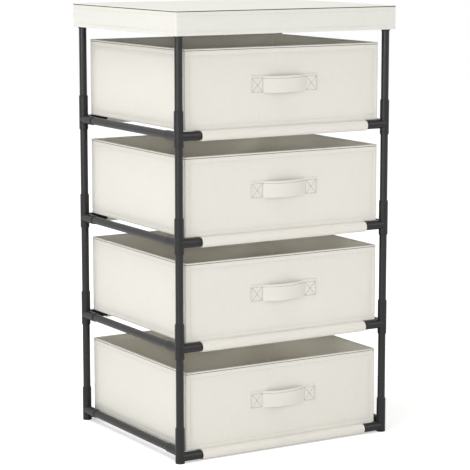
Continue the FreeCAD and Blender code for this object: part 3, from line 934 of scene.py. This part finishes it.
class SHELF_OT_sew_bins(bpy.types.Operator):
    """Sew the four bins: outer cloth with a bound rim and hem lines, and a lining"""

    bl_idname = "shelf.sew_bins"
    bl_label = "Sew Bins"

    CLOTH = 0.5 * MM
    # A larger corner would let the corners of the wall boards show in the groove of the rim
    CORNER = 1.6 * MM
    FOLD = 0.3 * MM
    CELL = 9.0 * MM
    RIPPLE_SCALE = 0.09
    WELT = 1.0 * MM
    WELT_DROP = 3.5 * MM
    SINK = 0.3 * MM
    THREAD_SINK = 0.3
    LINING = 0.7 * MM
    LINING_CORNER = 1.0 * MM
    LINING_INSET = 0.8 * MM
    LINING_EDGE = 8.0 * MM
    LINING_CELL = 12.0 * MM
    LINING_RIPPLE = 1.2 * MM
    LINING_RIPPLE_SCALE = 0.06

    def execute(self, context):
        pattern, rim_welt_and_shade = self.outer_pattern()
        inside = self.lining_pattern()
        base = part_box("bin_1_outer")[0].z
        for level in LEVELS:
            shift = Z * (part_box(f"bin_{level}_outer")[0].z - base)
            self.finish_outer(pattern, level, shift)
            self.finish_lining(inside, level, shift)
            # Each copy carries the dark cord, which is partly painted shade under the rim.
            cord = copy_of(rim_welt_and_shade, f"bin_{level}_rim_welt_and_shade", shift)
            settle(cord, f"bin_{level}", "welt_and_seam_shade")
            self.sew_lines(level)
        for spare in (pattern, rim_welt_and_shade, inside):
            discard(spare)
        return {"FINISHED"}

    def outer_pattern(self):
        """The outer cloth of the first bin, without its unevenness."""
        cloth = cloth_settings()
        low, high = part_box("bin_1_outer")
        wall_top = high.z - RIM_DROP
        shell = open_shell("bin_pattern", low - Z * self.SINK, Vector((high.x, high.y, wall_top)), True,
                           self.CORNER, self.FOLD)
        side = cloth.hem_side
        lines = (
            (low.x + side, high.x - side),
            (low.y + side, high.y - side),
            (low.z + cloth.hem_bottom, high.z - cloth.hem_top),
        )
        with editing(shell):
            for axis, (first, last) in enumerate(lines):
                slice_at(axis, beside(first) + beside(last)
                         + spaced(first + SEAM_REACH, last - SEAM_REACH, self.CELL))

            def on_line(vert):
                point = vert.co
                x_wall = abs(point.x) > high.x - TINY
                y_wall = abs(point.y) > high.y - TINY
                level_line = min(abs(point.z - line) for line in lines[2]) < TINY
                upright_x = y_wall and min(abs(point.x - line) for line in lines[0]) < TINY
                upright_y = x_wall and min(abs(point.y - line) for line in lines[1]) < TINY
                between = lines[2][0] - TINY < point.z < lines[2][1] + TINY
                return between and (level_line or upright_x or upright_y)

            pull_line(shell, on_line, cloth.seam_pull)
            grow_rim(shell, high, wall_top, high.z, RIM_PROFILE)
            # The rim cord's dark finish is partly painted shade for the shadow in the groove under the bound
            # rim.
            cord_z = high.z - self.WELT_DROP
            cord = lay_cord(shell, "rim_welt_and_shade_pattern", lambda edge: all_at(edge, 2, cord_z), self.WELT)
        unwrap_metric(shell)
        return shell, cord

    def finish_outer(self, pattern, level, shift):
        cloth = cloth_settings()
        low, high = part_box(f"bin_{level}_outer")
        piece = copy_of(pattern, f"bin_{level}_cloth", shift)

        def weight(point):
            rise = min(point.z - low.z - cloth.hem_bottom, high.z - point.z - cloth.hem_top)
            run = max(high.x - abs(point.x), high.y - abs(point.y)) - cloth.hem_side
            return ease(rise, 0, 40 * MM) * ease(run, 0, 45 * MM)

        ripple(piece, cloth.wave_height, self.RIPPLE_SCALE, weight)
        thicken(piece, self.CLOTH)
        smooth(piece)
        settle(piece, f"bin_{level}", "bin_linen", [f"bin_{level}_outer"])

    def lining_pattern(self):
        """The lining of the first bin: an open shell that looks inwards."""
        low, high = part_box("bin_1_lining")
        wall = (X + Y) * self.LINING_INSET
        low = low + wall + Z * self.LINING_INSET
        high = high - wall
        shell = open_shell("lining_pattern", low, high, True, self.LINING_CORNER, self.LINING_CORNER)
        with editing(shell):
            for axis in range(3):
                first = low[axis] + self.LINING_EDGE
                last = high[axis] - self.LINING_EDGE
                slice_at(axis, [first, last] + spaced(first, last, self.LINING_CELL))
            select_all()
            bpy.ops.mesh.flip_normals()
        unwrap_metric(shell)
        return shell

    def finish_lining(self, pattern, level, shift):
        low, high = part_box(f"bin_{level}_lining")
        piece = copy_of(pattern, f"bin_{level}_lining_cloth", shift)

        def weight(point):
            run = sorted((high.x - abs(point.x), high.y - abs(point.y), point.z - low.z))[1]
            return ease(run, 2 * MM, 30 * MM) * ease(high.z - point.z, 6 * MM, 30 * MM)

        ripple(piece, self.LINING_RIPPLE, self.LINING_RIPPLE_SCALE, weight)
        thicken(piece, self.LINING)
        smooth(piece)
        settle(piece, f"bin_{level}", "felted_lining", [f"bin_{level}_lining"])

    def sew_lines(self, level):
        cloth = cloth_settings()
        low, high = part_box(f"bin_{level}_outer")
        sunk = (X + Y) * (cloth.seam_pull - cloth.thread_width * self.THREAD_SINK)
        lines = wall_seams(low + sunk, high - sunk, cloth)
        sew(f"bin_{level}_stitching", lines, f"bin_{level}", "hem_thread")


class SHELF_OT_add_handles(bpy.types.Operator):
    """Add the strap handles: a folded strip bowed out from the bin, with boxed cross stitches at its ends"""

    bl_idname = "shelf.add_handles"
    bl_label = "Add Handles"

    STRAP = 1.6 * MM
    PATCH = 26.0 * MM
    TURN_RADIUS = 12.0 * MM
    EDGE_LINE = 4.5 * MM
    BOX_SIDE = 2.2 * MM
    BOX_FOOT = 0.9 * MM
    BOX_GAP = 0.3 * MM
    SAG = 1.5 * MM
    SAG_MIDDLE = 2.5 * MM
    TURN_STEPS = 8
    BOW_STEPS = 36
    EDGE_BAND = 1.0 * MM
    STRAP_CELL = 4.0 * MM
    PATCH_CELL = 3.0 * MM
    EDGE_ROUND = 0.45 * MM
    EDGE_LIMIT = math.radians(60)
    SEAM_GROUP = "edge_seam"

    def execute(self, context):
        strap = self.strap()
        lines = self.seams(strap)
        strap.vertex_groups.clear()
        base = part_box("bin_1_handle")[0].z
        for level in LEVELS:
            shift = Z * (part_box(f"bin_{level}_handle")[0].z - base)
            piece = copy_of(strap, f"bin_{level}_strap", shift)
            thicken(piece, self.STRAP, 0.0)
            apply_modifier(piece, "BEVEL", width=self.EDGE_ROUND, segments=2, limit_method="ANGLE",
                           angle_limit=self.EDGE_LIMIT)
            smooth(piece)
            settle(piece, f"bin_{level}", "strap_linen", [f"bin_{level}_handle"])
            moved = [[(point + shift, out) for point, out in line] for line in lines]
            sew(f"bin_{level}_handle_stitching", moved, f"bin_{level}", "strap_thread")
        discard(strap)
        return {"FINISHED"}

    def strap(self):
        """The middle surface of the first bin's strap: two flat ends and a bow between them."""
        low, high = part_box("bin_1_handle")
        flat_y = high.y - self.STRAP / 2
        half_span = high.x - self.PATCH
        bulge = high.y - low.y - self.STRAP
        bend = 2 * math.atan(bulge / half_span)
        bow_radius = half_span / math.sin(bend) - self.TURN_RADIUS
        start_fresh()
        bpy.ops.mesh.primitive_plane_add(
            size=1.0, location=(low.x + self.PATCH / 2, flat_y, (low.z + high.z) / 2),
            rotation=(math.pi / 2, 0, 0))
        strap = bpy.context.object
        strap.name = "strap_pattern"
        strap.scale = (self.PATCH, high.z - low.z, 1)
        bpy.ops.object.transform_apply(location=True, rotation=True, scale=True)
        turn_in = Vector((-half_span, flat_y - self.TURN_RADIUS, 0))
        bow = Vector((0, flat_y - bulge + bow_radius, 0))
        turn_out = Vector((half_span, flat_y - self.TURN_RADIUS, 0))
        with editing(strap):
            pick(strap, "EDGE", lambda edge: all_at(edge, 0, -half_span))
            bpy.ops.mesh.spin(steps=self.TURN_STEPS, angle=bend, center=turn_in, axis=Z)
            bpy.ops.mesh.spin(steps=self.BOW_STEPS, angle=-2 * bend, center=bow, axis=Z)
            bpy.ops.mesh.spin(steps=self.TURN_STEPS, angle=bend, center=turn_out, axis=Z)
            extrude((self.PATCH, 0, 0))
            edge_line = high.z - self.EDGE_LINE
            slice_at(2, beside(edge_line, self.EDGE_BAND)
                     + spaced(low.z, edge_line - self.EDGE_BAND, self.STRAP_CELL)
                     + [low.z + self.EDGE_BAND, high.z - self.EDGE_BAND])
            slice_at(0, spaced(low.x, -half_span, self.PATCH_CELL)
                     + spaced(half_span, high.x, self.PATCH_CELL))
            select_all()
            bpy.ops.mesh.remove_doubles(threshold=TINY)
            bpy.ops.mesh.normals_make_consistent(inside=False)
            pick(strap, "VERT", lambda vert: abs(vert.co.z - edge_line) < TINY)
            strap.vertex_groups.new(name=self.SEAM_GROUP)
            bpy.ops.object.vertex_group_assign()
            pick(strap, "VERT", lambda vert: abs(vert.co.x) < self.SAG_MIDDLE)
            bpy.ops.transform.translate(
                value=(0, 0, -self.SAG), use_proportional_edit=True, proportional_edit_falloff="SPHERE",
                proportional_size=half_span)
        unwrap_metric(strap)
        return strap

    def seams(self, strap):
        """The edge seam along the strap, read from its mesh, and a boxed cross at each end."""
        low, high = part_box("bin_1_handle")
        edge_z = high.z - self.EDGE_LINE
        lift = self.STRAP / 2
        marked = [vert.co.copy() for vert in strap.data.vertices if vert.groups]
        row = sorted(marked, key=lambda point: point.x)
        line = []
        half_span = high.x - self.PATCH
        for before, point, after in zip(row, row[1:], row[2:]):
            if abs(point.x) < half_span and after.x - before.x > TINY:
                ahead = (after - before).normalized()
                out = Vector((ahead.y, -ahead.x, 0)).normalized()
                line.append((point + out * lift, out))
        seams = [line]
        flat_y = high.y - self.STRAP
        foot = low.z + self.BOX_FOOT
        for side in (-1, 1):
            inner = side * (half_span + self.BOX_GAP)
            outer = side * (high.x - self.BOX_SIDE)
            corners = [Vector((x, flat_y, z)) for x in (inner, outer) for z in (foot, edge_z)]
            low_in, high_in, low_out, high_out = corners
            box = ((low_in, low_out), (high_in, high_out), (low_in, high_in), (low_out, high_out))
            cross = ((low_in, high_out), (high_in, low_out))
            for first, last in box + cross:
                seams.append(seam(first, last, -Y))
        return seams


class SHELF_OT_set_stage(bpy.types.Operator):
    """Set the pale floor, the soft light and the camera"""

    bl_idname = "shelf.set_stage"
    bl_label = "Set Stage"

    FLOOR_SIZE = 14.0
    FLOOR_GLOW = 0.45
    MIRRORED_GLOW = 0.1
    SENSOR_WIDTH = 36.0
    VIEW_END = 100.0

    def execute(self, context):
        self.floor(context.scene)
        self.light(context.scene)
        self.camera(context.scene)
        context.scene.view_settings.view_transform = "Standard"
        return {"FINISHED"}

    def seen_rays(self, finish):
        """Camera rays, and the mirror and glass rays that see the background in a surface."""
        camera = finish.node("ShaderNodeLightPath", output="Is Camera Ray")
        mirrored = finish.math("MAXIMUM", camera.out("Is Glossy Ray"), camera.out("Is Transmission Ray"))
        return camera, mirrored

    def floor(self, scene):
        start_fresh()
        bpy.ops.mesh.primitive_plane_add(size=self.FLOOR_SIZE)
        floor = bpy.context.object
        floor.name = "studio_floor"
        finish = new_finish("studio_floor")
        diffuse = finish.node("ShaderNodeBsdfDiffuse", inputs={
            "Color": (*scene.shelf_stage.floor_colour, 1.0)})
        camera, mirrored = self.seen_rays(finish)
        glow = finish.node("ShaderNodeEmission", inputs={
            "Strength": camera * self.FLOOR_GLOW + mirrored * self.MIRRORED_GLOW})
        both = finish.node("ShaderNodeAddShader", inputs={0: diffuse, 1: glow})
        finish.node("ShaderNodeOutputMaterial", inputs={"Surface": both})
        floor.data.materials.append(finish.owner)

    def light(self, scene):
        stage = scene.shelf_stage
        scene.world = bpy.data.worlds.new("studio")
        sky = Finish(scene.world)
        seen = sky.math("MAXIMUM", *self.seen_rays(sky))
        strength = stage.sky_strength + seen * (1.0 - stage.sky_strength)
        background = sky.node("ShaderNodeBackground", inputs={"Color": (1, 1, 1, 1), "Strength": strength})
        sky.node("ShaderNodeOutputWorld", inputs={"Surface": background})

        self.lamp(scene, "key", stage.key_place, stage.key_size, stage.key_strength)
        self.lamp(scene, "left", stage.left_place, stage.left_size, stage.left_strength)
        self.lamp(scene, "right", stage.right_place, stage.right_size, stage.right_strength)
        self.lamp(scene, "front", stage.camera_place, stage.front_size, stage.front_strength)

    def lamp(self, scene, name, spot, size, strength):
        """A round soft lamp that looks at the middle of the object."""
        light = bpy.data.lights.new(name, "AREA")
        light.shape = "DISK"
        light.size = size
        light.energy = strength
        lamp = bpy.data.objects.new(name, light)
        scene.collection.objects.link(lamp)
        lamp.location = spot
        aim = (CAD_BOX[0] + CAD_BOX[1]) / 2 - Vector(spot)
        lamp.rotation_euler = aim.to_track_quat("-Z", "Y").to_euler()
        lamp.visible_camera = False

    def camera(self, scene):
        stage = scene.shelf_stage
        view = bpy.data.cameras.new("photo_view")
        view.lens = stage.lens
        view.sensor_width = self.SENSOR_WIDTH
        view.clip_end = self.VIEW_END
        camera = bpy.data.objects.new("photo_view", view)
        scene.collection.objects.link(camera)
        camera.location = stage.camera_place
        camera.rotation_euler = Euler((math.pi / 2 - stage.camera_pitch, 0, -stage.camera_heading))
        scene.camera = camera


class SHELF_PT_panel(bpy.types.Panel):
    """Lists the steps that dress the shelf"""

    bl_idname = "SHELF_PT_panel"
    bl_label = "Storage Shelf"
    bl_space_type = "VIEW_3D"
    bl_region_type = "UI"
    bl_category = "Shelf"

    def draw(self, context):
        for step in STEPS:
            self.layout.operator(step.bl_idname)
        for name in SETTINGS:
            group = getattr(context.scene, name)
            box = self.layout.box()
            for key in group.__annotations__:
                box.prop(group, key)


STEPS = (
    SHELF_OT_finish_rack,
    SHELF_OT_hang_slings,
    SHELF_OT_fit_cover,
    SHELF_OT_sew_bins,
    SHELF_OT_add_handles,
    SHELF_OT_set_stage,
)
SETTINGS = {"shelf_rack": RackSettings, "shelf_cloth": ClothSettings, "shelf_stage": StageSettings}


def register():
    for group in SETTINGS.values():
        bpy.utils.register_class(group)
    for name, group in SETTINGS.items():
        setattr(bpy.types.Scene, name, PointerProperty(type=group))
    for step in STEPS:
        bpy.utils.register_class(step)
    bpy.utils.register_class(SHELF_PT_panel)


def unregister():
    bpy.utils.unregister_class(SHELF_PT_panel)
    for step in reversed(STEPS):
        bpy.utils.unregister_class(step)
    for name in SETTINGS:
        delattr(bpy.types.Scene, name)
    for group in SETTINGS.values():
        bpy.utils.unregister_class(group)


def main():
    """Dress the shelf step by step."""
    register()
    bpy.ops.shelf.finish_rack()
    bpy.ops.shelf.hang_slings()
    bpy.ops.shelf.fit_cover()
    bpy.ops.shelf.sew_bins()
    bpy.ops.shelf.add_handles()
    bpy.ops.shelf.set_stage()


if __name__ == "__main__":
    main()
